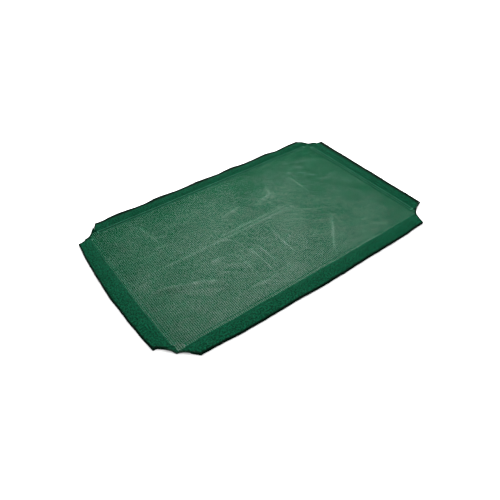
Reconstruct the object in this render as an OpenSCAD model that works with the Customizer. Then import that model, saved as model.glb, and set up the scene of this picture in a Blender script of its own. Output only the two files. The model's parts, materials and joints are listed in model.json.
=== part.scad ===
// Slip-on fabric cover for an elevated pet bed, lying flat.
// A knitted mesh panel has a folded sleeve sewn along each side. The bed's rails slide through the
// sleeves, and the corners are cut away so that the rails can meet there.
// Millimetres. The origin is on the floor under the middle of the panel, with +X along the length.

/* [Cover] */
// Length of the flat cover, from fold to fold
cover_length = 1080; // [860:10:1400]
// Width of the flat cover, from fold to fold
cover_width = 684; // [540:2:900]
// Thickness of one layer of the knitted fabric
fabric = 1; // [0.6:0.1:1.2]

/* [Sleeves] */
// Width of a sleeve, from its outer fold to the seam line where it meets the panel
sleeve_width = 64; // [56:1:78]
// Height of a sleeve above the floor along its outer fold
sleeve_height = 8; // [7:0.5:10]
// Width of the flat sewn band next to the seam line
seam_band = 14; // [10:0.5:17]
// Width over which a sleeve rises from its band to its full height
slope_run = 24; // [18:1:28]

/* [Corners] */
// How much further from the corner a sleeve's mouth ends at the outer fold than at the seam line
mouth_setback = 22; // [14:1:28]
// How far outside the crossing of two seam lines the corner cut passes
corner_margin = 10; // [6:0.5:12]
// How far the panel's corner tab reaches along each seam line
tab_reach = 8; // [6:0.5:11]

/* [Stitching] */
// Radius of the sewing thread where it lies on the fabric
thread_radius = 0.6; // [0.4:0.05:0.8]
// Distance of a stitch row from the edge of the sewn band
stitch_inset = 1.6; // [1.3:0.1:2.4]
// Width of a bar tack, along the sleeve
tack_width = 2; // [1.5:0.1:3]
// Height of a bar tack above the fabric
tack_height = 0.8; // [0.5:0.1:1.2]
// Distance of a bar tack's middle from the end of the sewn band
tack_inset = 4; // [3:0.5:8]
// Width of the overlocked edge along the corner cuts
overlock_width = 3; // [2:0.5:5]

/* [Clearances] */
// Gap between the fabric and a seam line that it turns about
hinge_gap = 0.5; // [0.3:0.1:0.8]
// Gap between a sleeve's end and the panel's corner tab
slit_gap = 0.5; // [0.3:0.1:1]
// Gap between a stitch row's end and a bar tack
stitch_gap = 0.5; // [0.3:0.1:1]

/* [Hidden] */

$fn = 96;
mesh_colour = "#4a7a62";
sleeve_colour = "#14573d";
thread_colour = "#1d6a4b";
edge_colour = "#0f4631";

// Sides, as the turn about Z that brings the rear side round to them
REAR = 0;
LEFT = 90;
FRONT = 180;
RIGHT = 270;

half_length = cover_length / 2;
half_width = cover_width / 2;
band_height = 2 * fabric;

// A sleeve's section: distances outwards from the seam line, and heights
fold_radius = sleeve_height / 2;
fold_middle = sleeve_width - fold_radius;
slope_end = seam_band + slope_run;
slope_rise = sleeve_height - band_height;
slope_radius = (slope_run * slope_run + slope_rise * slope_rise) / (2 * slope_rise);

// The corner cut: one arc that runs from fold to fold, with its middle outside the corner
corner_cut = sleeve_width + mouth_setback;
cut_depth = sleeve_width - corner_margin;
cut_half_chord = corner_cut / sqrt(2);
cut_sagitta = sqrt(2) * (cut_depth - corner_cut / 2);
cut_radius = (cut_half_chord * cut_half_chord + cut_sagitta * cut_sagitta) / (2 * cut_sagitta);
cut_middle = cut_radius / sqrt(2) - cut_depth;

// True for the two sides that run along the length of the cover
function is_long(turn) = turn == FRONT || turn == REAR;

// Half the length of a side, between the corners that the cuts take away
function side_half(turn) = is_long(turn) ? half_length : half_width;

// Distance from the middle of the cover to a side's seam line
function seam_line(turn) = (is_long(turn) ? half_width : half_length) - sleeve_width;

// Half the length of a side's sewn band
function band_half(turn) = side_half(turn) - sleeve_width - tab_reach;

// Moves what is drawn along X, with Y outwards from the seam line, to one side of the cover
module at_side(turn) {
    rotate([0, 0, turn])
        translate([0, seam_line(turn), 0])
            children();
}

// Draws a section of distances outwards and heights along the whole of a side
module along(length) {
    rotate([90, 0, 90])
        linear_extrude(length, center = true)
            children();
}

// The folded part of a sleeve's section, with its outline moved inwards by inset
module tube_section(inset) {
    intersection() {
        translate([slope_end, sleeve_height - slope_radius])
            circle(slope_radius - inset);
        translate([seam_band, inset])
            square([slope_run, sleeve_height - 2 * inset]);
    }
    translate([slope_end, inset])
        square([fold_middle - slope_end, sleeve_height - 2 * inset]);
    translate([fold_middle, fold_radius])
        circle(fold_radius - inset);
}

// The sewn band, with the tube of folded fabric beyond it
module sleeve_section() {
    translate([hinge_gap, 0])
        square([seam_band - hinge_gap, band_height]);
    difference() {
        tube_section(0);
        tube_section(fabric);
    }
}

// The round cuts at both ends of a side, widened by margin, seen from above
module side_cuts(turn, margin) {
    for (end = [-1, 1])
        translate([end * (side_half(turn) + cut_middle), sleeve_width + cut_middle])
            circle(cut_radius + margin);
}

// Where a sleeve may be, seen from above, up to the given margin from the corner cuts
module sleeve_plan(turn, margin) {
    difference() {
        translate([-band_half(turn), 0])
            square([2 * band_half(turn), sleeve_width]);
        side_cuts(turn, margin);
    }
}

// A strip of fabric folded double, open at both ends for a rail
module sleeve(turn) {
    color(sleeve_colour)
        at_side(turn)
            intersection() {
                along(cover_length + cover_width)
                    sleeve_section();
                linear_extrude(sleeve_height)
                    sleeve_plan(turn, overlock_width);
            }
}

// The thread over the cut edges of a sleeve's two mouths
module mouth_overlocks(turn) {
    color(edge_colour)
        at_side(turn)
            intersection() {
                along(cover_length + cover_width)
                    difference() {
                        tube_section(0);
                        tube_section(fabric);
                    }
                linear_extrude(sleeve_height)
                    difference() {
                        sleeve_plan(turn, 0);
                        sleeve_plan(turn, overlock_width);
                    }
            }
}

// One row of stitching on the sewn band, this far outwards from the seam line
module stitch_row(turn, outwards) {
    row_end = band_half(turn) - tack_inset - tack_width / 2 - stitch_gap;
    color(thread_colour)
        at_side(turn)
            along(2 * row_end)
                translate([outwards, band_height])
                    intersection() {
                        circle(thread_radius);
                        translate([-thread_radius, 0])
                            square([2 * thread_radius, thread_radius]);
                    }
}

// The row next to the panel
module inner_stitching(turn) {
    stitch_row(turn, stitch_inset);
}

// The row next to the rail's channel
module outer_stitching(turn) {
    stitch_row(turn, seam_band - stitch_inset);
}

// The tacks across both stitch rows, one at each end of the sewn band
module bar_tacks(turn) {
    tack_start = stitch_inset - thread_radius;
    color(thread_colour)
        at_side(turn)
            for (end = [-1, 1])
                translate([end * (band_half(turn) - tack_inset) - tack_width / 2, tack_start, band_height])
                    cube([tack_width, seam_band - 2 * tack_start, tack_height]);
}

// The square at one corner that holds the panel's corner tab, seen from above
module tab_square(x_side, y_side) {
    tab_size = sleeve_width + tab_reach - slit_gap;
    translate([x_side * (half_length - tab_size / 2), y_side * (half_width - tab_size / 2)])
        square(tab_size, center = true);
}

// The round cut at one corner, widened by margin, seen from above
module corner_disc(x_side, y_side, margin) {
    translate([x_side * (half_length + cut_middle), y_side * (half_width + cut_middle)])
        circle(cut_radius + margin);
}

// The single layer of knitted mesh, with a tab between the sleeves at each corner
module mesh_panel() {
    color(mesh_colour)
        linear_extrude(fabric)
            union() {
                square([2 * (seam_line(RIGHT) - hinge_gap), 2 * (seam_line(REAR) - hinge_gap)], center = true);
                for (x_side = [-1, 1], y_side = [-1, 1])
                    difference() {
                        tab_square(x_side, y_side);
                        corner_disc(x_side, y_side, overlock_width);
                    }
            }
}

// The thread over the cut edge of one corner tab
module corner_overlock(x_side, y_side) {
    color(edge_colour)
        linear_extrude(fabric)
            intersection() {
                tab_square(x_side, y_side);
                difference() {
                    corner_disc(x_side, y_side, overlock_width);
                    corner_disc(x_side, y_side, 0);
                }
            }
}

module front_left_corner_overlock() corner_overlock(-1, -1);
module front_right_corner_overlock() corner_overlock(1, -1);
module rear_left_corner_overlock() corner_overlock(-1, 1);
module rear_right_corner_overlock() corner_overlock(1, 1);

module front_sleeve() sleeve(FRONT);
module rear_sleeve() sleeve(REAR);
module left_sleeve() sleeve(LEFT);
module right_sleeve() sleeve(RIGHT);

module front_inner_stitching() inner_stitching(FRONT);
module rear_inner_stitching() inner_stitching(REAR);
module left_inner_stitching() inner_stitching(LEFT);
module right_inner_stitching() inner_stitching(RIGHT);

module front_outer_stitching() outer_stitching(FRONT);
module rear_outer_stitching() outer_stitching(REAR);
module left_outer_stitching() outer_stitching(LEFT);
module right_outer_stitching() outer_stitching(RIGHT);

module front_bar_tacks() bar_tacks(FRONT);
module rear_bar_tacks() bar_tacks(REAR);
module left_bar_tacks() bar_tacks(LEFT);
module right_bar_tacks() bar_tacks(RIGHT);

module front_mouth_overlocks() mouth_overlocks(FRONT);
module rear_mouth_overlocks() mouth_overlocks(REAR);
module left_mouth_overlocks() mouth_overlocks(LEFT);
module right_mouth_overlocks() mouth_overlocks(RIGHT);

mesh_panel();
front_left_corner_overlock();
front_right_corner_overlock();
rear_left_corner_overlock();
rear_right_corner_overlock();
front_sleeve();
rear_sleeve();
left_sleeve();
right_sleeve();
front_inner_stitching();
rear_inner_stitching();
left_inner_stitching();
right_inner_stitching();
front_outer_stitching();
rear_outer_stitching();
left_outer_stitching();
right_outer_stitching();
front_bar_tacks();
rear_bar_tacks();
left_bar_tacks();
right_bar_tacks();
front_mouth_overlocks();
rear_mouth_overlocks();
left_mouth_overlocks();
right_mouth_overlocks();
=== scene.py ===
"""A slip-on fabric cover for an elevated pet bed, spread flat on a floor.

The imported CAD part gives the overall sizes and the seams' places. Each CAD node is replaced by modelled
cloth or thread. A point of the cloth is given by "along", the distance along a side, and "out", the distance
outwards from the seam line that the side's sleeve folds about. Lengths are in metres, unless a comment says
otherwise.
"""
import json
import math

import bmesh
import bpy
import numpy as np
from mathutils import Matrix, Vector

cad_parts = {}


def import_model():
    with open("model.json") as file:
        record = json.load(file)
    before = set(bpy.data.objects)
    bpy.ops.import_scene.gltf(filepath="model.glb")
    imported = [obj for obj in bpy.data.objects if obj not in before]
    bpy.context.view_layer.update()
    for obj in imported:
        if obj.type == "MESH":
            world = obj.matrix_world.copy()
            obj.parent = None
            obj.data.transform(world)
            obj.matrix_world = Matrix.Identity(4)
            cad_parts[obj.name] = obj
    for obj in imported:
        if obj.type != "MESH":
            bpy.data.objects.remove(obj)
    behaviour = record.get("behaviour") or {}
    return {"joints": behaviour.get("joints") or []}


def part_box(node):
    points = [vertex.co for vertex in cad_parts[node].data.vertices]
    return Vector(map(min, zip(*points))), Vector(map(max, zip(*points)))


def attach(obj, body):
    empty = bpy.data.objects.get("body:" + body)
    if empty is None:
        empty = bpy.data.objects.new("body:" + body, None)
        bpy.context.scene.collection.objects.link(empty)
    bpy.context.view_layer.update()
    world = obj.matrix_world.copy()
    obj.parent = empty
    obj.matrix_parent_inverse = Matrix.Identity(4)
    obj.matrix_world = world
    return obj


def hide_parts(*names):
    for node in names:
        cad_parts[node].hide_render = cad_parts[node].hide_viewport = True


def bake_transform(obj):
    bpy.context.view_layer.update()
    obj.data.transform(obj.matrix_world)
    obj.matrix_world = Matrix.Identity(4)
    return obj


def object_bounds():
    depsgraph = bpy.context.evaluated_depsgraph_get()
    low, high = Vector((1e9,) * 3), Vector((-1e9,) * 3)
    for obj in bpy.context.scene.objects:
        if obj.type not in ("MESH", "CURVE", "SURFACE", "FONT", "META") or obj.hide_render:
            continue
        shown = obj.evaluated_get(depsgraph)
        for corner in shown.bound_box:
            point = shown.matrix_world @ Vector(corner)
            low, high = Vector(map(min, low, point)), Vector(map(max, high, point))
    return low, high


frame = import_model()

MM = 0.001
CAD_LOW, CAD_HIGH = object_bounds()
JOINTS = {joint["name"]: joint for joint in frame["joints"]}

# --------------------------------------------------------------------------------------------------
# Sizes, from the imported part
# --------------------------------------------------------------------------------------------------
HALF_LENGTH, HALF_WIDTH = CAD_HIGH.x, CAD_HIGH.y
SEAM_X = abs(JOINTS["right_fold"]["pos_m"][0])
SEAM_Y = abs(JOINTS["rear_fold"]["pos_m"][1])
SLEEVE_WIDTH = HALF_WIDTH - SEAM_Y
SLEEVE_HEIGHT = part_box("rear_sleeve")[1].z
END_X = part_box("rear_sleeve")[1].x          # straight end of the sewn band of a long side
END_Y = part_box("right_sleeve")[1].y
TAB_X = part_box("rear_right_corner_overlock")[0].x   # where the panel's corner tabs start
TAB_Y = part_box("rear_right_corner_overlock")[0].y
INNER_ROW = (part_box("rear_inner_stitching")[0].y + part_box("rear_inner_stitching")[1].y) / 2 - SEAM_Y
OUTER_ROW = (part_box("rear_outer_stitching")[0].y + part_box("rear_outer_stitching")[1].y) / 2 - SEAM_Y
BAND = INNER_ROW + OUTER_ROW
ROW_END = {"long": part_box("rear_inner_stitching")[1].x, "short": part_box("right_inner_stitching")[1].y}
TACK = {"long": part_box("rear_bar_tacks")[1].x, "short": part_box("right_bar_tacks")[1].y}

CLOTH = 0.8 * MM            # thickness of the knit
LAYER = 1.0 * MM            # room one layer takes
STITCHED = 1.5 * LAYER      # height of the top layer's middle in the sewn band
SLOPE = 24 * MM             # width over which a sleeve rises from its band
TUBE_TOP = SLEEVE_HEIGHT - LAYER / 2
PUCKER = 0.30 * MM          # height of the small waves beside the stitches, one for each PUCKER_PITCH
PUCKER_PITCH = 12.5 * MM
CELL = 3.6 * MM             # size of a cell of the cloth's mesh
FINE_CELL = 2.0 * MM        # the same in the corner tabs
TOUCH = 1e-6                # points this close count as on a line

# --------------------------------------------------------------------------------------------------
# The four sides and the four corner cuts
# --------------------------------------------------------------------------------------------------
# seam and fold: how far, in millimetres, the sewn seam and the outer fold lie outside the CAD's lines at the
# side's start, middle and end, because the loose cloth bows. wave: the height in millimetres, the period and
# one peak of the fold's waves. lift: how far, in millimetres, the two mouths gape. light_band: the sewn band
# is as bright as the panel. painted_shade_from: where painted shade starts on the sleeve's top and darkens it
# towards the fold, in shares of its width.
SIDES = {
    "front": {"out": (0, -1), "along": (1, 0), "kind": "long", "ends": ("left_front", "right_front"),
              "seam": (0.5, 3.5, 1.0), "fold": (-3.5, 9.5, -3),
              "wave": (1.2, 0.30, 0.02), "lift": (1.5, 0.5),
              "light_band": True, "painted_shade_from": (0.85, 0.97), "seed": 11},
    "rear": {"out": (0, 1), "along": (1, 0), "kind": "long", "ends": ("left_rear", "right_rear"),
             "seam": (1.0, 2.0, 2.5), "fold": (-8, -6, -8),
             "wave": (2.8, 0.16, -0.04), "lift": (0.5, 0.5),
             "light_band": False, "painted_shade_from": (0.05, 0.40), "seed": 12},
    "left": {"out": (-1, 0), "along": (0, 1), "kind": "short", "ends": ("left_front", "left_rear"),
             "seam": (3, 15, 5), "fold": (-7, 17.5, -10.5),
             "wave": (0.5, 0.2, 0.0), "lift": (4.0, 1.0),
             "light_band": True, "painted_shade_from": (0.85, 0.97), "seed": 13},
    "right": {"out": (1, 0), "along": (0, 1), "kind": "short", "ends": ("right_front", "right_rear"),
              "seam": (6, 7, 7), "fold": (1, 8, 12),
              "wave": (0.5, 0.2, 0.0), "lift": (0.5, 1.0),
              "light_band": False, "painted_shade_from": (0.25, 0.55), "seed": 14},
}

# Each cut is a curve from one outer edge to the other. Its first, control and last points are given by
# their distances in X and Y, in millimetres, from the corner that it removes.
CUTS = {
    "left_front": ((90, 0), (47, 47), (0, 90)),
    "left_rear": ((88, 0), (54, 64), (0, 80)),
    "right_rear": ((80, 0), (43, 47), (0, 74)),
    "right_front": ((84, 0), (68, 63), (0, 82)),
}
# The cut with a sewn lump in it, and the lump's height, place and width on the curve
LUMP_CUT = "left_front"
LUMP_HEIGHT, LUMP_PLACE, LUMP_WIDTH = 3.5 * MM, 0.52, 0.07

# Creases of the panel: a chain of points in shares of the panel's half sizes, then half the crease's width
# and its height in millimetres. A height below 0 is a valley.
CREASES = [
    ([(-0.97, 0.02), (-0.30, 0.012), (0.46, 0.03)], 5.5, 2.0),
    ([(-0.42, 0.07), (0.42, 0.09)], 5, 1.0),
    ([(-0.50, -0.22), (-0.38, -0.25)], 6, 2.2),
    ([(-0.44, -0.80), (-0.30, -0.83), (-0.18, -0.80)], 5.5, 2.0),
    ([(-0.31, -0.30), (-0.305, -0.74)], 5, 1.7),
    ([(-0.21, -0.24), (-0.20, -0.80)], 5, 1.9),
    ([(-0.14, -0.30), (-0.135, -0.70)], 4.5, 1.4),
    ([(0.03, -0.22), (0.02, -0.72)], 5, 1.7),
    ([(-0.98, -0.17), (-0.72, -0.52), (-0.44, -0.80)], 30, -2.0),
    ([(-0.93, -0.20), (-0.60, -0.45), (-0.50, -0.59)], 7, 2.2),
    ([(0.54, -0.31), (0.40, -0.62), (0.22, -0.96)], 8, 2.4),
    ([(0.92, -0.59), (0.86, -0.80), (0.72, -0.99)], 8, 3.4),
    ([(0.57, 0.12), (0.56, 0.66)], 6, 1.9),
    ([(-0.67, 0.36), (-0.70, 0.62), (-0.72, 0.88)], 7, 1.9),
    ([(0.60, 0.94), (0.80, 0.80), (0.99, 0.63)], 20, 2.4),
    ([(-0.99, 0.66), (-0.84, 0.80), (-0.68, 0.91)], 15, 2.4),
    ([(0.10, 0.30), (0.30, 0.42), (0.34, 0.62)], 7, 1.5),
    ([(-0.20, 0.35), (0.02, 0.42)], 7, 1.4),
]


def smooth(low, high, value):
    """0 below low, 1 above high, and a smooth rise between them."""
    t = np.clip((np.asarray(value, float) - low) / (high - low), 0, 1)
    return t * t * (3 - 2 * t)


def ripple(x, y, seed, wavelength, count=8):
    """Smooth noise between about -1 and 1, as a sum of plane waves."""
    draws = np.random.default_rng(seed)
    turns = draws.uniform(0, 2 * math.pi, count)
    stretches = draws.uniform(0.65, 1.5, count)
    phases = draws.uniform(0, 2 * math.pi, count)
    total = 0
    for turn, stretch, phase in zip(turns, stretches, phases):
        pace = 2 * math.pi / (wavelength * stretch)
        total = total + np.sin(pace * (x * math.cos(turn) + y * math.sin(turn)) + phase)
    return total / math.sqrt(2 * count)


def three_point(values, share):
    """Metres on a curve through millimetre values at a side's start, middle and end: share is -1 to 1."""
    start, middle, end = values
    return MM * (middle + (end - start) / 2 * share + ((start + end) / 2 - middle) * share ** 2)


def cut_curve(corner, count=200):
    """Points of a corner cut, as distances in X and Y from the corner, starting on the long edge."""
    first, control, last = (MM * np.array(p, float) for p in CUTS[corner])
    t = np.linspace(0, 1, count)[:, None]
    curve = (1 - t) ** 2 * first + 2 * t * (1 - t) * control + t ** 2 * last
    if corner == LUMP_CUT:
        curve = curve - LUMP_HEIGHT * np.exp(-((t - LUMP_PLACE) / LUMP_WIDTH) ** 2)
    return curve


def cut_reach(corner, kind, inward):
    """How far from the corner a side of this kind starts, at a distance inward from its outer edge."""
    curve = cut_curve(corner)
    if kind == "long":
        return np.interp(inward, curve[:, 1], curve[:, 0])
    return np.interp(inward, curve[::-1, 0], curve[::-1, 1])


def panel_height(x, y):
    """Height of the middle of the panel's cloth above the floor: swells, creases and a fine unevenness."""
    creases = 0
    for chain, width, height in CREASES:
        creases = creases + crease(x, y, chain, width * MM, height * MM)
    swell = 1.0 * MM * (1 + ripple(x, y, 3, 0.26)) + 0.45 * MM * ripple(x, y, 4, 0.085)
    fine = 0.16 * MM * ripple(x, y, 5, 0.030) + 0.10 * MM * ripple(x, y, 6, 0.016)
    near_edge = np.minimum(SEAM_X - np.abs(x), SEAM_Y - np.abs(y))
    inside = smooth(-2 * MM, 45 * MM, near_edge)        # the seams hold the panel down
    relief = (swell + creases + crinkles(x, y)) * (0.12 + 0.88 * inside) + fine
    rounding = 0.4 * MM                                 # valleys flatten out on the floor over this height
    return LAYER / 2 + rounding * np.log1p(np.exp(np.clip(relief / rounding, -30, 30)))


def panel_tone(x, y):
    """How pale the panel's cloth is, about 1 where it is palest: a little in front of its middle. The valleys
    get painted shade.
    """
    end = x / SEAM_X - 0.05
    rear = np.clip(y / SEAM_Y + 0.1, 0, 1.2)
    slack = 0.05 * ripple(x, y, 9, 0.20)
    for chain, width, height in CREASES:
        if height < 0:                                  # painted shade: valleys are darker
            slack = slack - 0.08 * crease(x, y, chain, 0.6 * width * MM, 1.0)
    return np.clip(1.02 - 0.17 * end ** 2 - 0.12 * rear ** 2 + slack, 0.4, 1.12)


def panel_crest(x, y):
    """How sharply the cloth is creased, from 0 to 1: a crease line gets a painted highlight and is paler."""
    lines = 0.2 * crinkles(x, y) / (1.3 * MM)
    for chain, width, height in CREASES:
        if 0 < height < 3 and width < 10:               # the sharp ridges only
            lines = lines + np.maximum(crease(x, y, chain, 0.7 * width * MM, 0.9), 0)
    return np.clip(lines - 0.12, 0, 1)


def crinkles(x, y):
    """Thin wandering creases all over the panel, taller in some patches than in others.

    Each layer is a seed, a wavelength, the share of the noise's height that a crease takes, and its height in
    millimetres.
    """
    layers = ((31, 0.12, 0.17, 1.3), (32, 0.085, 0.22, 1.0), (33, 0.06, 0.30, 0.7))
    patches = 0.35 + 0.65 * smooth(-0.5, 0.8, ripple(x, y, 30, 0.22))
    lines = 0
    for seed, wavelength, width, height in layers:
        lines = lines + height * MM * np.exp(-(ripple(x, y, seed, wavelength) / width) ** 2)
    return lines * patches


def crease(x, y, chain, width, height):
    """A ridge along a chain of points, or a valley where height is below 0, that fades out at both ends."""
    points = [np.array([px * SEAM_X, py * SEAM_Y]) for px, py in chain]
    lengths = [np.linalg.norm(b - a) for a, b in zip(points, points[1:])]
    nearest = np.full(np.shape(x), 1e9)
    place = np.zeros(np.shape(x))
    passed = 0.0
    for a, b, length in zip(points, points[1:], lengths):
        step = (b - a) / length
        run = np.clip((x - a[0]) * step[0] + (y - a[1]) * step[1], 0, length)
        distance = np.hypot(x - a[0] - run * step[0], y - a[1] - run * step[1])
        closer = distance < nearest
        nearest = np.where(closer, distance, nearest)
        place = np.where(closer, (passed + run) / sum(lengths), place)
        passed += length
    fading = 0.22                       # share of the chain over which each end fades out
    fade = smooth(0, fading, place) * smooth(0, fading, 1 - place)
    wander = 1 + 0.25 * ripple(x, y, 7, 0.05)
    return height * wander * fade * np.exp(-(nearest / width) ** 1.5)


# --------------------------------------------------------------------------------------------------
# A side of the cover
# --------------------------------------------------------------------------------------------------
def half_of(side):
    """Half the length of a side, between the corners that the cuts remove."""
    return HALF_LENGTH if SIDES[side]["kind"] == "long" else HALF_WIDTH


def seam_of(side):
    """Distance from the middle of the cover to a side's seam line."""
    return SEAM_Y if SIDES[side]["kind"] == "long" else SEAM_X


def band_end_of(side):
    """Distance from the middle of a side to the straight end of its sewn band."""
    return END_X if SIDES[side]["kind"] == "long" else END_Y


def axis_of(side):
    """0 if a side runs along X, 1 if it runs along Y."""
    return 0 if SIDES[side]["kind"] == "long" else 1


def world(side, along, out, up):
    """Points of a side in the part's own frame."""
    a, o = SIDES[side]["along"], SIDES[side]["out"]
    far = seam_of(side) + out
    return np.stack([a[0] * along + o[0] * far, a[1] * along + o[1] * far, up + 0 * along], axis=-1)


def seam_offset(side, along):
    """How far the sewn seam lies outside the seam line."""
    wave = 0.9 * MM * ripple(along, 0 * along, SIDES[side]["seed"], 0.16)
    return np.maximum(three_point(SIDES[side]["seam"], along / half_of(side)) + wave, 0.4 * MM)


def fold_offset(side, along):
    """How far the outer fold lies outside the CAD's outer edge."""
    seed = SIDES[side]["seed"] + 20
    height, period, peak = SIDES[side]["wave"]
    wave = height * MM * np.cos(2 * math.pi * (along - peak) / period)
    wave = wave + 0.6 * MM * ripple(along, 0 * along, seed, 0.09)
    wave = wave + 0.4 * MM * ripple(along, 0 * along, seed + 1, 0.03)
    return three_point(SIDES[side]["fold"], along / half_of(side)) + wave


def mouth_lift(side, along):
    """How far the top of the sleeve is raised near its two mouths."""
    start, end = SIDES[side]["lift"]
    half = half_of(side)
    place, width = 0.07, 0.03       # distance of the highest point from the corner, and its spread
    near = np.exp(-((along + half - place) / width) ** 2)
    far = np.exp(-((along - half + place) / width) ** 2)
    return MM * (start * near + end * far)


def band_height(side, along, out):
    """Height of the top layer of cloth between the seam line and the outer edge of the sewn band."""
    points = world(side, along, out, 0 * along)
    edge = panel_height(points[..., 0], points[..., 1])
    offset = seam_offset(side, along)
    pucker = PUCKER * np.sin(2 * math.pi * along / PUCKER_PITCH + 2 * ripple(along, out, 8, 0.05))
    stitched = STITCHED + pucker * smooth(0, BAND / 2, np.abs(out - offset - BAND / 2))
    return edge + (stitched - edge) * smooth(-1.5 * MM, 3.0 * MM, out - offset)


def tube_height(side, along, out):
    """Height of the top layer beyond the sewn band."""
    start = seam_offset(side, along) + BAND
    rise = TUBE_TOP - STITCHED
    radius = (SLOPE ** 2 + rise ** 2) / (2 * rise)
    short = np.clip(start + SLOPE - out, 0, SLOPE)
    arc = TUBE_TOP - radius + np.sqrt(radius ** 2 - short ** 2)
    on_tube = smooth(0, SLOPE * 1.3, out - start)
    seed = SIDES[side]["seed"] + 40
    # the tube is puffed out unevenly, and the cloth next to the stitches is pulled into short folds
    puff = 0.9 * MM * ripple(along, out, seed, 0.12) + 0.4 * MM * ripple(along, out, seed + 1, 0.04)
    pull = 0.5 * MM * ripple(along, 0 * along, seed + 2, 0.022) * np.exp(-((out - start) / 0.014) ** 2)
    return arc + on_tube * (puff + mouth_lift(side, along)) + pull * smooth(0, 4 * MM, out - start)


def sleeve_path():
    """The path of a sleeve's cloth, from the seam line over the tube and back below it: (part, share)."""
    rows = [("band", t) for t in np.linspace(0, 1, 10)]
    rows += [("slope", t) for t in np.linspace(0, 1, 9)[1:]]
    rows += [("top", t) for t in (0.18, 0.36, 0.54, 0.68, 0.78, 0.86, 0.93, 1.0)]
    rows += [("fold", t) for t in np.linspace(0, 1, 11)[1:]]
    rows += [("below", t) for t in (0.04, 0.08, 0.12, *np.linspace(0.2, 1, 10))]
    return rows


SLEEVE_ROWS = sleeve_path()


def sleeve_point(side, part, share, along):
    """(out, up, cloth) of one row of the path, at the places along. cloth is measured on the flat cloth."""
    offset = seam_offset(side, along)
    band_end = offset + BAND
    slope_end = band_end + SLOPE
    fold_radius = (TUBE_TOP - LAYER / 2) / 2
    fold_out = SLEEVE_WIDTH + fold_offset(side, along) - CLOTH / 2 - fold_radius
    top = tube_height(side, along, fold_out)
    radius = (top - LAYER / 2) / 2
    slope_length = SLOPE * 1.04         # the slope is an arc, so its cloth is a little longer
    if part == "band":
        out = share * band_end
        return out, band_height(side, along, out), out
    if part == "slope":
        out = band_end + share * SLOPE
        return out, tube_height(side, along, out), band_end + share * slope_length
    if part == "top":
        out = slope_end + share * (fold_out - slope_end)
        return out, tube_height(side, along, out), band_end + slope_length + out - slope_end
    top_length = band_end + slope_length + fold_out - slope_end
    if part == "fold":
        turn = math.pi * share
        out = fold_out + fold_radius * math.sin(turn)
        return out, LAYER / 2 + radius * (1 + math.cos(turn)), top_length + share * math.pi * fold_radius
    far = top_length + math.pi * fold_radius
    edge = OUTER_ROW - 2 * MM if SIDES[side]["light_band"] else 1.5 * MM     # where the lower layer ends
    width = fold_out - offset - edge
    return fold_out - share * width, LAYER / 2 + 0 * along, far + share * width


def sleeve_ends(side, out):
    """Where the cloth of a side starts and ends at a distance outwards from the seam line."""
    found = []
    for sign, corner in zip((-1, 1), SIDES[side]["ends"]):
        edge = SLEEVE_WIDTH + three_point(SIDES[side]["fold"], sign)
        reach = cut_reach(corner, SIDES[side]["kind"], edge - out)
        found.append(sign * min(half_of(side) - reach, band_end_of(side)))
    return found


def sleeve_grid(side):
    """Points and flat cloth places of a sleeve: rows along the side, one for each step of the path."""
    count = int(2 * half_of(side) / CELL)
    points, cloth = [], []
    for part, share in SLEEVE_ROWS:
        along = np.zeros(count)
        for _ in range(3):      # the ends depend on how far out the row is, which depends on the ends
            out, up, flat = sleeve_point(side, part, share, along)
            starts = sleeve_ends(side, out[0])[0], sleeve_ends(side, out[-1])[1]
            along = np.linspace(starts[0], starts[1], count)
        out, up, flat = sleeve_point(side, part, share, along)
        points.append(world(side, along, out, up))
        cloth.append(world(side, along, flat, 0 * along)[:, :2])
    return np.array(points), np.array(cloth)


# --------------------------------------------------------------------------------------------------
# Mesh making
# --------------------------------------------------------------------------------------------------
def set_attributes(thing, **values):
    """Stores numbers on the points of a mesh for its material."""
    for name, given in values.items():
        attribute = thing.data.attributes.new(name, "FLOAT", "POINT")
        attribute.data.foreach_set("value", np.asarray(given, float).ravel())


def new_object(name, points, faces, cloth=None, materials=(), face_material=None):
    """A mesh object, with the place on the flat cloth as its UV map and smooth shading."""
    mesh = bpy.data.meshes.new(name)
    mesh.from_pydata(np.asarray(points, float).reshape(-1, 3).tolist(), [], faces)
    mesh.polygons.foreach_set("use_smooth", [True] * len(mesh.polygons))
    if cloth is not None:
        layer = mesh.uv_layers.new(name="cloth")
        corners = np.zeros(len(mesh.loops), int)
        mesh.loops.foreach_get("vertex_index", corners)
        layer.data.foreach_set("uv", np.asarray(cloth, float).reshape(-1, 2)[corners].ravel())
    for material in materials:
        mesh.materials.append(material)
    if face_material is not None:
        mesh.polygons.foreach_set("material_index", face_material)
    mesh.update()
    thing = bpy.data.objects.new(name, mesh)
    bpy.context.scene.collection.objects.link(thing)
    return thing


def thicken(thing, thickness):
    """Gives a single sheet its thickness, and applies it."""
    solid = thing.modifiers.new("thickness", "SOLIDIFY")
    solid.thickness = thickness
    solid.offset = 0
    solid.use_even_offset = True
    with bpy.context.temp_override(object=thing, active_object=thing, selected_objects=[thing]):
        bpy.ops.object.modifier_apply(modifier=solid.name)


def grid_faces(rows, columns):
    """Quads of a grid of points stored row by row."""
    index = np.arange(rows * columns).reshape(rows, columns)
    quads = np.stack([index[:-1, :-1], index[:-1, 1:], index[1:, 1:], index[1:, :-1]], axis=-1)
    return quads.reshape(-1, 4).tolist()


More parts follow.
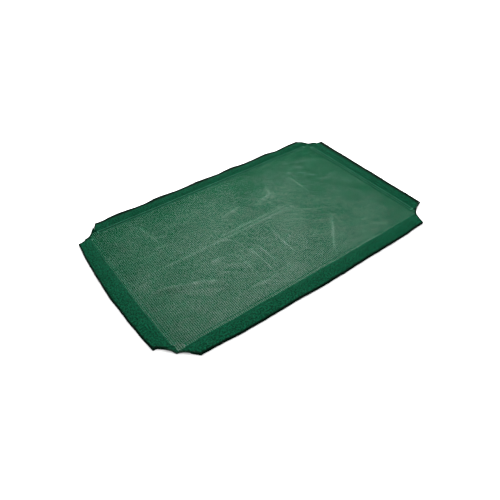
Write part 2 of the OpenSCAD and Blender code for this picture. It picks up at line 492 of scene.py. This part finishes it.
def tube(path, radius, sides):
    """Points and faces of a closed thread along a path."""
    path = np.asarray(path, float)
    ahead = np.gradient(path, axis=0)
    ahead /= np.linalg.norm(ahead, axis=1)[:, None]
    across = np.cross(ahead, [0.13, 0.27, 0.95])        # no thread runs along this direction
    across /= np.maximum(np.linalg.norm(across, axis=1), 1e-9)[:, None]
    over = np.cross(across, ahead)
    turns = np.arange(sides) * 2 * math.pi / sides
    ring = np.cos(turns)[None, :, None] * across[:, None] + np.sin(turns)[None, :, None] * over[:, None]
    points = (path[:, None] + ring * radius).reshape(-1, 3)
    faces = []
    for i in range(len(path) - 1):
        for j in range(sides):
            k = (j + 1) % sides
            faces.append([i * sides + j, i * sides + k, (i + 1) * sides + k, (i + 1) * sides + j])
    faces.append(list(range(sides))[::-1])
    faces.append([(len(path) - 1) * sides + j for j in range(sides)])
    return points, faces


def thread_object(name, paths, radius, material, sides=6):
    """One object of many short threads."""
    points, faces, count = [], [], 0
    for path in paths:
        thread_points, thread_faces = tube(path, radius, sides)
        points.append(thread_points)
        faces += [[i + count for i in face] for face in thread_faces]
        count += len(thread_points)
    return new_object(name, np.concatenate(points), faces, materials=[material])


# --------------------------------------------------------------------------------------------------
# Materials
# --------------------------------------------------------------------------------------------------
# Layers of the fine creases of the cloth: turn of the noise, its stretch, its scale and the width of a line
CREASE_LAYERS = (
    (0.35, 3.0, 34.0, 0.040),
    (-0.75, 3.0, 42.0, 0.040),
    (1.50, 2.6, 38.0, 0.040),
    (0.9, 1.2, 22.0, 0.024),
    (-0.2, 1.5, 60.0, 0.060),
)


class Graph:
    """Short ways to add shader nodes to a material."""

    def __init__(self, name):
        self.material = bpy.data.materials.new(name)
        self.material.use_nodes = True
        self.tree = self.material.node_tree
        self.shader = self.tree.nodes["Principled BSDF"]

    def put(self, value, socket):
        """Sets an input to a number or colour, or links another node's output to it."""
        if hasattr(value, "links"):
            self.tree.links.new(value, socket)
        else:
            socket.default_value = value

    def math(self, operation, *values):
        node = self.tree.nodes.new("ShaderNodeMath")
        node.operation = operation
        for value, socket in zip(values, node.inputs):
            self.put(value, socket)
        return node.outputs[0]

    def rise(self, value, low, high, to_low=0.0, to_high=1.0):
        """to_low where the value is below low, to_high where it is above high, and smooth between."""
        node = self.tree.nodes.new("ShaderNodeMapRange")
        node.interpolation_type = "SMOOTHSTEP"
        for name, given in (("Value", value), ("From Min", low), ("From Max", high),
                            ("To Min", to_low), ("To Max", to_high)):
            self.put(given, node.inputs[name])
        return node.outputs["Result"]

    def noise(self, place, scale, detail=2.0, roughness=0.5):
        node = self.tree.nodes.new("ShaderNodeTexNoise")
        node.noise_dimensions = "2D"
        self.put(place, node.inputs["Vector"])
        node.inputs["Scale"].default_value = scale
        node.inputs["Detail"].default_value = detail
        node.inputs["Roughness"].default_value = roughness
        return node.outputs["Fac"]

    def mix(self, share, a, b, blend="MIX"):
        node = self.tree.nodes.new("ShaderNodeMix")
        node.data_type = "RGBA"
        node.blend_type = blend
        self.put(share, node.inputs["Factor"])
        self.put(a, node.inputs["A"])
        self.put(b, node.inputs["B"])
        return node.outputs["Result"]

    def bump(self, height, distance):
        node = self.tree.nodes.new("ShaderNodeBump")
        node.inputs["Strength"].default_value = 1.0
        node.inputs["Distance"].default_value = distance
        self.put(height, node.inputs["Height"])
        self.tree.links.new(node.outputs["Normal"], self.shader.inputs["Normal"])

    def attribute(self, name):
        """A number that each point of the mesh carries."""
        node = self.tree.nodes.new("ShaderNodeAttribute")
        node.attribute_name = name
        return node.outputs["Fac"]

    def creases(self, place):
        """Thin wandering creases: layers of stretched noise, cut into strokes. 0 is off the lines."""
        total = 0.0
        for turn, stretch, scale, width in CREASE_LAYERS:
            turned = self.tree.nodes.new("ShaderNodeMapping")
            turned.inputs["Rotation"].default_value = (0, 0, turn)
            turned.inputs["Scale"].default_value = (1.0 / stretch, 1, 1)
            turned.inputs["Location"].default_value = (turn, 2.0 * turn, 0)
            self.tree.links.new(place, turned.inputs["Vector"])
            level = self.noise(turned.outputs["Vector"], scale, 1.5)
            from_line = self.math("ABSOLUTE", self.math("SUBTRACT", level, 0.5))
            line = self.rise(from_line, 0.0, width, 1.0, 0.0)
            patch = self.rise(self.noise(turned.outputs["Vector"], 0.45 * scale, 1.0), 0.48, 0.66)
            total = self.math("ADD", total, self.math("MULTIPLY", line, patch))
        return self.math("MINIMUM", total, 1.3)

    def cloth_place(self):
        """The UV map's two distances on the flat cloth, in millimetres, and the UV vector itself."""
        uv = self.tree.nodes.new("ShaderNodeUVMap")
        uv.uv_map = "cloth"
        parts = self.tree.nodes.new("ShaderNodeSeparateXYZ")
        self.tree.links.new(uv.outputs["UV"], parts.inputs[0])
        across = self.math("MULTIPLY", parts.outputs[0], 1000.0)
        along = self.math("MULTIPLY", parts.outputs[1], 1000.0)
        return across, along, uv.outputs["UV"]


RIB_PITCH = 6.0         # millimetres between two ribs of the knit
HOLE_COLUMN = 1.15      # millimetres from the middle between two ribs to each of the two columns of holes
COURSE_PITCH = 2.2      # millimetres between two holes of a column


def knit(name, deep, bright, hole, see_through, rib_strength, grain_scale, grain_strength, crease_height):
    """Warp-knitted mesh: ribs along the cover's width, with two columns of oval holes between two ribs.

    deep and bright are the yarn's two tones, and hole is half the width and half the length of a hole in
    millimetres. Where see_through is False, the holes show another layer of cloth, painted darker as painted
    shade between the two layers. rib_strength is how dark a rib is, grain_scale and grain_strength set the
    speckle of the yarn, and crease_height sets the fine creases, which also get a painted highlight. The mesh
    attributes say how pale the cloth is, with painted shade in the panel's valleys, where creases get a
    painted highlight, and where painted shade darkens folds, cut edges and the middle of a dark sewn band.
    """
    g = Graph(name)
    across, along, uv = g.cloth_place()
    tone, crest, fold_edge = g.attribute("tone"), g.attribute("crest"), g.attribute("fold_edge")
    grain = g.noise(uv, grain_scale, 2.0, 0.6)
    wobble = g.math("MULTIPLY", g.math("SUBTRACT", g.noise(uv, 70.0, 1.0), 0.5), 1.6)     # millimetres
    place = g.math("ADD", across, wobble)
    in_rib = g.math("SUBTRACT", g.math("FRACT", g.math("DIVIDE", place, RIB_PITCH)), 0.5)
    from_middle = g.math("ABSOLUTE", in_rib)
    rib = g.rise(from_middle, 0.30, 0.42)
    in_column = g.math("SUBTRACT", from_middle, HOLE_COLUMN / RIB_PITCH)
    staggered = g.math("MULTIPLY", g.math("GREATER_THAN", in_rib, 0.0), 0.5)
    course = g.math("ADD", g.math("DIVIDE", along, COURSE_PITCH), staggered)
    in_row = g.math("SUBTRACT", g.math("FRACT", course), 0.5)
    dx = g.math("MULTIPLY", in_column, RIB_PITCH / hole[0])
    dy = g.math("MULTIPLY", in_row, COURSE_PITCH / hole[1])
    distance = g.math("SQRT", g.math("ADD", g.math("MULTIPLY", dx, dx), g.math("MULTIPLY", dy, dy)))
    lines = g.creases(uv)
    # the creases from the mesh attribute and from the noise: they open the holes a little and carry the
    # painted highlight below
    crease = g.math("ADD", crest, g.math("MULTIPLY", lines, 0.42 * crease_height))
    stretch = g.math("ADD", g.rise(grain, 0.30, 0.70, 0.88, 1.08), g.math("MULTIPLY", crease, 0.10))
    radius = g.math("MULTIPLY", g.math("SQRT", tone), stretch)
    solid = g.rise(g.math("DIVIDE", distance, radius), 0.88, 1.06)
    fibre = g.noise(uv, 2600.0, 2.0)
    blotch = g.noise(uv, 24.0, 3.0, 0.6)
    base = g.mix(g.rise(blotch, 0.30, 0.72), (*deep, 1), (*bright, 1))
    base = g.mix(g.rise(grain, 0.38, 0.62, 0.0, grain_strength), base, (*[0.15 * c for c in deep], 1))
    base = g.mix(g.math("MULTIPLY", rib, rib_strength), base, (*[0.40 * c for c in deep], 1))
    base = g.mix(g.math("MULTIPLY", fibre, 0.25), base, (*[0.45 * c for c in deep], 1))
    if see_through:
        g.put(solid, g.shader.inputs["Alpha"])
    else:
        # painted shade: the holes show the lower layer as a darker green, the shade between the two layers
        shaded_hole = g.math("SUBTRACT", 1.0, solid)
        base = g.mix(g.math("MULTIPLY", shaded_hole, 0.6), base, (*[0.25 * c for c in deep], 1))
    # the cloth's tone, with painted shade in the panel's valleys
    base = g.mix(1.0, base, tone, "MULTIPLY")
    # painted highlight: crease lines are lightened towards a pale green
    base = g.mix(g.math("MULTIPLY", crease, 0.38), base, (*[1.5 * c + 0.03 for c in bright], 1))
    # painted shade: folds, the cloth next to them and cut edges are darkened almost to black
    base = g.mix(g.math("MULTIPLY", fold_edge, 0.95), base, (*[0.04 * c for c in deep], 1))
    g.put(base, g.shader.inputs["Base Color"])
    g.shader.inputs["Roughness"].default_value = 0.6
    g.shader.inputs["Specular IOR Level"].default_value = 0.006
    height = g.math("ADD", g.math("MULTIPLY", rib, 0.9), g.math("MULTIPLY", solid, 0.5))
    height = g.math("ADD", height, g.math("MULTIPLY", fibre, 0.18))
    height = g.math("ADD", height, g.math("MULTIPLY", grain, 0.7))
    height = g.math("ADD", height, g.math("MULTIPLY", lines, 6.0 * crease_height))
    g.bump(height, 0.55 * MM)
    return g.material


def yarn(name, deep, bright, twist_pitch):
    """Twisted thread: fine slanted lines from deep to bright, with a painted highlight where the yarn stands
    out.
    """
    g = Graph(name)
    place = g.tree.nodes.new("ShaderNodeTexCoord").outputs["Object"]
    wave = g.tree.nodes.new("ShaderNodeTexWave")
    wave.inputs["Scale"].default_value = 1.0 / twist_pitch
    wave.inputs["Distortion"].default_value = 1.5
    wave.inputs["Detail"].default_value = 2.0
    wave.bands_direction = "DIAGONAL"
    g.tree.links.new(place, wave.inputs["Vector"])
    twist_and_highlight = wave.outputs["Fac"]
    noise = g.tree.nodes.new("ShaderNodeTexNoise")
    noise.inputs["Scale"].default_value = 60.0
    g.tree.links.new(place, noise.inputs["Vector"])
    # painted highlight on the raised strands of the twist
    base = g.mix(g.math("MULTIPLY", twist_and_highlight, 0.8), (*deep, 1), (*bright, 1))
    base = g.mix(g.rise(noise.outputs["Fac"], 0.35, 0.65, 0.0, 0.4), base, (*[0.6 * c for c in deep], 1))
    g.put(base, g.shader.inputs["Base Color"])
    g.shader.inputs["Roughness"].default_value = 0.48
    g.shader.inputs["Specular IOR Level"].default_value = 0.04
    g.bump(twist_and_highlight, 0.12 * MM)
    return g.material


MESH_ONE = knit("knit_one_layer", deep=(0.0050, 0.073, 0.033), bright=(0.0068, 0.087, 0.040),
                hole=(0.97, 0.86), see_through=True, rib_strength=0.65,
                grain_scale=300.0, grain_strength=0.30, crease_height=0.8)
MESH_BAND = knit("knit_sewn_band", deep=(0.0036, 0.048, 0.023), bright=(0.0052, 0.060, 0.029),
                 hole=(0.66, 0.50), see_through=True, rib_strength=0.50,
                 grain_scale=240.0, grain_strength=0.50, crease_height=0.4)
MESH_DOUBLE = knit("knit_two_layers", deep=(0.0020, 0.052, 0.024), bright=(0.0030, 0.064, 0.031),
                   hole=(0.8, 0.6), see_through=False, rib_strength=0.30,
                   grain_scale=210.0, grain_strength=1.0, crease_height=0.2)
# one sewing yarn in two copies: painted light on the rear and right sides, painted shade on the front and
# left
SEWING = yarn("sewing_yarn", (0.030, 0.150, 0.090), (0.070, 0.235, 0.150), 0.7 * MM)
SHADED_SEWING = yarn("shaded_sewing_yarn", (0.012, 0.095, 0.054), (0.026, 0.140, 0.088), 0.7 * MM)
# overlock thread, painted near-black: the thread's own dark colour, darkened further as painted shade along
# the cut edges
SHADED_OVERLOCK = yarn("shaded_overlock_yarn", (0.0008, 0.010, 0.005), (0.0020, 0.026, 0.014), 0.8 * MM)


# --------------------------------------------------------------------------------------------------
# The panel, with its four corner tabs
# --------------------------------------------------------------------------------------------------
def grid_lines(tab, seam, half):
    """Places of the panel's grid lines in one direction, finer in the corner tabs."""
    inner = np.linspace(-tab, tab, 2 * int(tab / CELL) + 1)
    middle = np.linspace(tab, seam, 4)[1:]
    margin = 0.018                      # no tab reaches this near to an outer edge
    outer = np.arange(seam + FINE_CELL, half - margin, FINE_CELL)
    beyond = np.concatenate([middle, outer])
    return np.concatenate([-beyond[::-1], inner, beyond])


def corner_at(x, y):
    """Name of the corner that a point is nearest to."""
    return f"{'left' if x < 0 else 'right'}_{'front' if y < 0 else 'rear'}"


def tab_height(x, y):
    """Height of the cloth in a corner tab: it rises with the sleeves on both its sides."""
    sides = ("front" if y < 0 else "rear", "left" if x < 0 else "right")
    rises = []
    for side in sides:
        along, out = (x, abs(y) - SEAM_Y) if SIDES[side]["kind"] == "long" else (y, abs(x) - SEAM_X)
        along, out = np.array([along]), np.array([out])
        beyond = out - seam_offset(side, along) - BAND
        rises.append(float((tube_height(side, along, out) - STITCHED)[0]) if beyond > 0 else 0.0)
    base = float(panel_height(np.array([x]), np.array([y]))[0])
    return base + max(0.0, min(max(rises), TUBE_TOP)) * 0.9


def in_tab(x, y):
    """Whether points are in the square that a corner tab is cut from."""
    return (np.abs(x) >= TAB_X - TOUCH) & (np.abs(y) >= TAB_Y - TOUCH)


def panel_cells():
    """Flat places and faces of the panel. In the tabs, the points just beyond a cut are moved onto it."""
    xs, ys = grid_lines(TAB_X, SEAM_X, HALF_LENGTH), grid_lines(TAB_Y, SEAM_Y, HALF_WIDTH)
    gx, gy = np.meshgrid(xs, ys)
    core = (np.abs(gx) <= SEAM_X + TOUCH) & (np.abs(gy) <= SEAM_Y + TOUCH)
    tab = in_tab(gx, gy)
    outside = np.zeros(gx.shape, bool)
    snapped = {}
    for i, j in np.argwhere(tab & ~core):
        x, y = gx[i, j], gy[i, j]
        curve = cut_curve(corner_at(x, y))
        gone = np.array([HALF_LENGTH - abs(x), HALF_WIDTH - abs(y)])
        reach = np.interp(gone[1], curve[:, 1], curve[:, 0], left=1.0, right=-1.0)
        if gone[0] < reach:
            outside[i, j] = True
            nearest = curve[np.argmin(((curve - gone) ** 2).sum(1))]
            snapped[(i, j)] = (math.copysign(HALF_LENGTH - nearest[0], x),
                               math.copysign(HALF_WIDTH - nearest[1], y))
    numbers, places, faces = {}, [], []
    for i in range(len(ys) - 1):
        for j in range(len(xs) - 1):
            ring = [(i, j), (i, j + 1), (i + 1, j + 1), (i + 1, j)]
            in_core = all(core[p] for p in ring)
            on_tab = all(tab[p] for p in ring) and sum(outside[p] for p in ring) <= 2
            if not (in_core or on_tab):
                continue
            for p in ring:
                if p not in numbers:
                    numbers[p] = len(places)
                    places.append(snapped.get(p, (gx[p], gy[p])))
            faces.append([numbers[p] for p in ring])
    return np.array(places), faces


def merge_snapped(thing):
    """Merges points that were moved to the same place, and drops the faces that vanished."""
    mesh = bmesh.new()
    mesh.from_mesh(thing.data)
    bmesh.ops.remove_doubles(mesh, verts=mesh.verts, dist=0.15 * MM)
    bmesh.ops.dissolve_degenerate(mesh, edges=mesh.edges, dist=0.05 * MM)
    loose = [v for v in mesh.verts if not v.link_faces]
    bmesh.ops.delete(mesh, geom=loose, context="VERTS")
    mesh.to_mesh(thing.data)
    mesh.free()


def make_panel():
    flat, faces = panel_cells()
    height = panel_height(flat[:, 0], flat[:, 1])
    fold_edge = np.zeros(len(flat))
    for k in np.flatnonzero(in_tab(flat[:, 0], flat[:, 1])):
        x, y = flat[k]
        height[k] = tab_height(x, y)
        # painted shade along the cut edge of the tab
        away = cut_curve(corner_at(x, y)) - (HALF_LENGTH - abs(x), HALF_WIDTH - abs(y))
        fold_edge[k] = 1 - smooth(4 * MM, 7 * MM, np.hypot(away[:, 0], away[:, 1]).min())
    centres = np.abs([flat[face].mean(0) for face in faces])
    past_band = (centres - (SEAM_X, SEAM_Y) > BAND + 2 * MM).any(axis=1)
    doubled = (in_tab(centres[:, 0], centres[:, 1]) & past_band).astype(int)
    panel = new_object("mesh_panel_cloth", np.column_stack([flat, height]), faces, cloth=flat,
                       materials=[MESH_ONE, MESH_DOUBLE], face_material=doubled)
    set_attributes(panel, tone=panel_tone(flat[:, 0], flat[:, 1]),
                   crest=panel_crest(flat[:, 0], flat[:, 1]), fold_edge=fold_edge)
    merge_snapped(panel)
    thicken(panel, CLOTH)
    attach(panel, "panel")
    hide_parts("mesh_panel")
    return panel


# A loop of overlock thread round a cut edge: shares of its depth, its rise over the cloth and its slant
LOOP_SHAPE = [
    (1.0, 0.75, 1.0), (0.8, 1.0, 0.8), (0.3, 1.0, 0.3), (0.0, 0.85, 0.0), (-0.16, 0.0, -0.1),
    (0.0, -0.85, -0.2), (0.3, -1.0, -0.4), (0.8, -1.0, -0.8), (1.0, -0.75, -1.0),
]
LOOP_DEPTH = 4 * MM
LOWEST_THREAD = 0.55 * MM   # the thread below the cloth is pressed flat by the floor


def edge_loops(edge, inward, normal, pitch, cover):
    """Threads round a cut edge: for each step along it, a U from one face of the cloth to the other."""
    lengths = np.concatenate([[0], np.cumsum(np.linalg.norm(np.diff(edge, axis=0), axis=1))])
    places = np.arange(pitch / 2, lengths[-1], pitch)

    def at_places(values):
        return np.stack([np.interp(places, lengths, values[:, k]) for k in range(3)], axis=-1)

    points, inwards, normals = at_places(edge), at_places(inward), at_places(normal)
    inwards /= np.linalg.norm(inwards, axis=1)[:, None]
    normals /= np.linalg.norm(normals, axis=1)[:, None]
    slant = np.gradient(points, axis=0)
    slant = slant / np.linalg.norm(slant, axis=1)[:, None] * pitch * 0.35
    rise = CLOTH / 2 + cover
    paths = []
    for p, i, n, s in zip(points, inwards, normals, slant):
        path = np.array([p + i * LOOP_DEPTH * a + n * rise * b + s * c for a, b, c in LOOP_SHAPE])
        path[:, 2] = np.maximum(path[:, 2], LOWEST_THREAD)
        paths.append(path)
    return paths


def make_corner_overlock(corner, node):
    """The thread over the cut edge of one corner tab."""
    sx = -1 if corner.startswith("left") else 1
    sy = -1 if corner.endswith("front") else 1
    curve = cut_curve(corner)
    curve = curve[(curve[:, 0] < HALF_LENGTH - TAB_X) & (curve[:, 1] < HALF_WIDTH - TAB_Y)]
    places = [(sx * (HALF_LENGTH - cx), sy * (HALF_WIDTH - cy)) for cx, cy in curve]
    edge = np.array([(x, y, tab_height(x, y)) for x, y in places])
    ahead = np.gradient(edge, axis=0)
    inward = np.cross(ahead, [0, 0, 1.0])
    towards = np.array([-sx, -sy, 0.0])
    inward *= np.sign(inward @ towards)[:, None]
    normal = np.tile([0.0, 0.0, 1.0], (len(edge), 1))
    paths = edge_loops(edge, inward, normal, pitch=1.7 * MM, cover=0.15 * MM)
    thing = thread_object(node + "_thread", paths, radius=0.5 * MM, material=SHADED_OVERLOCK)
    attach(thing, "panel")
    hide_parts(node)
    return thing


# --------------------------------------------------------------------------------------------------
# The sleeves and their thread
# --------------------------------------------------------------------------------------------------
def bend_with(thing):
    """Bakes the piece's transform into its mesh."""
    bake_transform(thing)


def sleeve_shades(side, points):
    """The attributes of a sleeve's points: its tone, the painted highlight on creases, and the painted shade
    on folds, cut edges and the middle of a dark band.
    """
    grid = points.shape[:2]
    tone, crest, fold_edge = np.ones(grid), np.zeros(grid), np.zeros(grid)
    for k, (part, share) in enumerate(SLEEVE_ROWS):
        # painted shade: the whole fold, the top towards the fold and the lower layer next to it are darkened
        if part == "fold":
            fold_edge[k] = 1.0
        elif part == "top":
            fold_edge[k] = smooth(*SIDES[side]["painted_shade_from"], share)
        elif part == "below":
            fold_edge[k] = 1 - smooth(0, 0.12, share)
        elif part == "band":
            tone[k] = panel_tone(points[k, :, 0], points[k, :, 1])
            crest[k] = panel_crest(points[k, :, 0], points[k, :, 1])
            if not SIDES[side]["light_band"]:       # painted shade: a darker line along the middle of the band, in the valley between the stitch rows
                fold_edge[k] = 0.30 * smooth(0.25, 0.45, share) * smooth(0.25, 0.45, 1 - share)
        if part != "band":                          # painted shade along the cut edges at the two mouths
            on_cut = np.abs(points[k][[0, -1], axis_of(side)]) < band_end_of(side) - 1 * MM
            fold_edge[k, :2] = np.maximum(fold_edge[k, :2], on_cut[0])
            fold_edge[k, -2:] = np.maximum(fold_edge[k, -2:], on_cut[1])
    return {"tone": tone, "crest": crest, "fold_edge": fold_edge}


def sleeve_material(side, part, share):
    """Number of the material before a row of the path: 0 one layer, 1 sewn band, 2 two layers."""
    first_of_band = 0.15
    if part != "band":
        return 2
    return 0 if share <= first_of_band or SIDES[side]["light_band"] else 1


def make_sleeve(side):
    points, cloth = sleeve_grid(side)
    rows, columns = points.shape[:2]
    row_materials = [sleeve_material(side, part, share) for part, share in SLEEVE_ROWS[1:]]
    sleeve = new_object(f"{side}_sleeve_cloth", points, grid_faces(rows, columns), cloth=cloth,
                        materials=[MESH_ONE, MESH_BAND, MESH_DOUBLE],
                        face_material=np.repeat(row_materials, columns - 1))
    set_attributes(sleeve, **sleeve_shades(side, points))
    thicken(sleeve, CLOTH)
    bend_with(sleeve)
    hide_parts(f"{side}_sleeve")
    return sleeve, points


def sewing_yarn(side):
    """The material of a side's sewing thread: a copy painted with shade on a band that is as bright as the
    panel, a brighter copy painted with light elsewhere.
    """
    return SHADED_SEWING if SIDES[side]["light_band"] else SEWING


def make_stitches(side, row, out_in_band):
    """One row of lockstitches: each is a short arched thread whose ends dip into the cloth."""
    pitch, length, radius = 4.6 * MM, 3.9 * MM, 0.62 * MM
    arch = np.array([-0.7, 0.15, 0.42, 0.5, 0.42, 0.15, -0.7]) * MM
    end = ROW_END[SIDES[side]["kind"]]
    paths = []
    for start in np.arange(-end, end - length, pitch):
        along = start + length * np.linspace(0, 1, len(arch))
        sway = 0.12 * MM * np.sin(along * 900)
        out = seam_offset(side, along) + out_in_band + sway
        paths.append(world(side, along, out, band_height(side, along, out) + CLOTH / 2 + arch))
    thing = thread_object(f"{side}_{row}_stitching_thread", paths, radius, sewing_yarn(side))
    bend_with(thing)
    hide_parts(f"{side}_{row}_stitching")
    return thing


def make_bar_tacks(side):
    """Dense zigzag thread across both stitch rows, one tack at each end of the band."""
    outer, length = TACK[SIDES[side]["kind"]], 2 * MM
    steps, t = np.linspace(0, 1, 13), np.linspace(0, 1, 9)
    paths = []
    for sign in (-1, 1):
        for k, (a, b) in enumerate(zip(steps, steps[1:])):
            ends = (0.07, 0.93) if k % 2 == 0 else (0.93, 0.07)         # shares of the band's width
            along = sign * (outer - length * (a + (b - a) * t))
            out = seam_offset(side, along) + BAND * (ends[0] + (ends[1] - ends[0]) * t)
            lift = CLOTH / 2 + 0.35 * MM * np.sin(math.pi * np.clip(t, 0.02, 0.98)) ** 0.4 - 0.15 * MM
            paths.append(world(side, along, out, band_height(side, along, out) + lift))
    thing = thread_object(f"{side}_bar_tacks_thread", paths, radius=0.3 * MM, material=sewing_yarn(side),
                          sides=5)
    bend_with(thing)
    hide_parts(f"{side}_bar_tacks")
    return thing


def make_mouth_overlocks(side, points):
    """The thread over the cut edges of a sleeve's mouths, where the tube's edge follows the corner cuts."""
    limit = band_end_of(side) - 0.5 * MM
    paths = []
    for column, neighbour in ((0, 2), (-1, -3)):
        edge = points[:, column]
        on_cut = [k for k, (part, _) in enumerate(SLEEVE_ROWS)
                  if part != "band" and abs(edge[k, axis_of(side)]) < limit]
        edge, inner = edge[on_cut], points[on_cut, neighbour]
        ahead = np.gradient(edge, axis=0)
        inward = inner - edge
        normal = np.cross(ahead, inward)
        paths += edge_loops(edge, inward, normal, pitch=2.0 * MM, cover=0.12 * MM)
    thing = thread_object(f"{side}_mouth_overlocks_thread", paths, radius=0.45 * MM, material=SHADED_OVERLOCK)
    bend_with(thing)
    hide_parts(f"{side}_mouth_overlocks")
    return thing


panel = make_panel()
for corner in CUTS:
    across, depth = corner.split("_")       # the CAD's nodes are named the other way round
    make_corner_overlock(corner, f"{depth}_{across}_corner_overlock")

for side in SIDES:
    sleeve, grid = make_sleeve(side)
    threads = [make_stitches(side, "inner", INNER_ROW), make_stitches(side, "outer", OUTER_ROW),
               make_bar_tacks(side), make_mouth_overlocks(side, grid)]

# --------------------------------------------------------------------------------------------------
# Floor, light and camera
# --------------------------------------------------------------------------------------------------
def make_floor():
    g = Graph("studio_floor")
    g.shader.inputs["Base Color"].default_value = (0.86, 0.86, 0.86, 1)
    g.shader.inputs["Roughness"].default_value = 0.9
    g.shader.inputs["Specular IOR Level"].default_value = 0.1
    half = 6
    corners = [(-half, -half, 0), (half, -half, 0), (half, half, 0), (-half, half, 0)]
    floor = new_object("floor", corners, [[0, 1, 2, 3]], materials=[g.material])


def aim(thing, place, target):
    """Puts a light or camera at a place and turns it to the target."""
    thing.location = place
    thing.rotation_mode = "QUATERNION"
    thing.rotation_quaternion = (Vector(target) - Vector(place)).to_track_quat("-Z", "Y")


def add_area_light(name, place, size, power):
    light = bpy.data.lights.new(name, "AREA")
    light.shape = "DISK"
    light.size = size
    light.energy = power
    lamp = bpy.data.objects.new(name, light)
    bpy.context.scene.collection.objects.link(lamp)
    aim(lamp, place, (0, 0, 0))


def add_world(strength):
    studio = bpy.data.worlds.new("studio")
    studio.use_nodes = True
    background = studio.node_tree.nodes["Background"]
    background.inputs["Color"].default_value = (1, 1, 1, 1)
    background.inputs["Strength"].default_value = strength
    bpy.context.scene.world = studio


def add_camera():
    """Level camera that looks down at a point of the floor near the middle of the cover."""
    azimuth, elevation, distance = math.radians(-36.77), math.radians(42.75), 1.5315
    target = Vector((-0.1031, -0.0902, 0.0))
    back = Vector((math.sin(azimuth) * math.cos(elevation), -math.cos(azimuth) * math.cos(elevation),
                   math.sin(elevation)))
    camera = bpy.data.objects.new("camera", bpy.data.cameras.new("camera"))
    bpy.context.scene.collection.objects.link(camera)
    camera.data.sensor_width = 36
    camera.data.lens = 33.9
    aim(camera, target + back * distance, target)
    bpy.context.scene.camera = camera


make_floor()
add_world(strength=1.7)
add_area_light("key", place=(1.4, 2.1, 2.0), size=0.8, power=220)
add_camera()
bpy.context.scene.view_settings.view_transform = "Standard"
